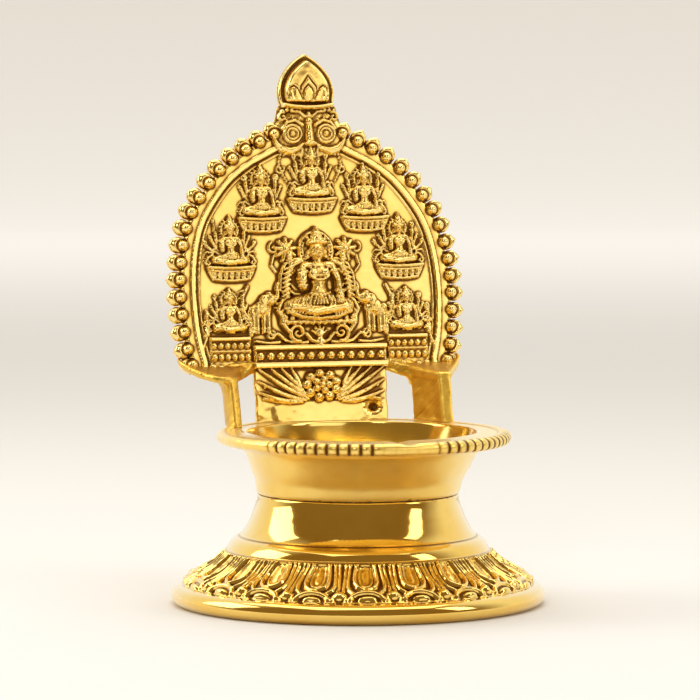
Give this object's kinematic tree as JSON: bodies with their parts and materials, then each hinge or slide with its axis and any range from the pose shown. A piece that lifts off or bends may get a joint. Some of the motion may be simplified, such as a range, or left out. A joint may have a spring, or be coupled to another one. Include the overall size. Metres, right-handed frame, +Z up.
{
  "type": "brass oil lamp with back plate",
  "caption": "Brass oil lamp: round foot with a petal band, open bowl with a beaded rim and wick channel, and an arched relief back plate standing on the rim.",
  "frame": {"origin": "centre of the ring-shaped face that the foot rests on", "axes": "+Z up along the foot's axis, -Y to the front where the wick channel is, back plate over the rim on the +Y side"},
  "size_m": [0.1396, 0.143, 0.2029],
  "materials": {
    "foot_brass": "mirror-polished, dark in the cast grooves",
    "bowl_brass": "satin, turned, with fine circular marks",
    "plate_brass": "as cast and brushed, brown in the recesses",
    "fastener_brass": "dull turned brass"
  },
  "bodies": {
    "foot": {"foot": "foot_brass"},
    "bowl_and_plate": {"bowl": "bowl_brass", "back_plate": "plate_brass", "clamp_stud": "fastener_brass", "clamp_washer": "fastener_brass", "clamp_nut": "fastener_brass", "plate_screw_left_leg": "fastener_brass", "plate_screw_right_leg": "fastener_brass", "plate_screw_left_panel": "fastener_brass", "plate_screw_right_panel": "fastener_brass"}
  },
  "joints": [
    {"name": "bowl_turn", "type": "hinge", "parent": "foot", "child": "bowl_and_plate", "pos_m": [0, 0, 0.0412], "axis": [0, 0, 1], "continuous": true}
  ]
}
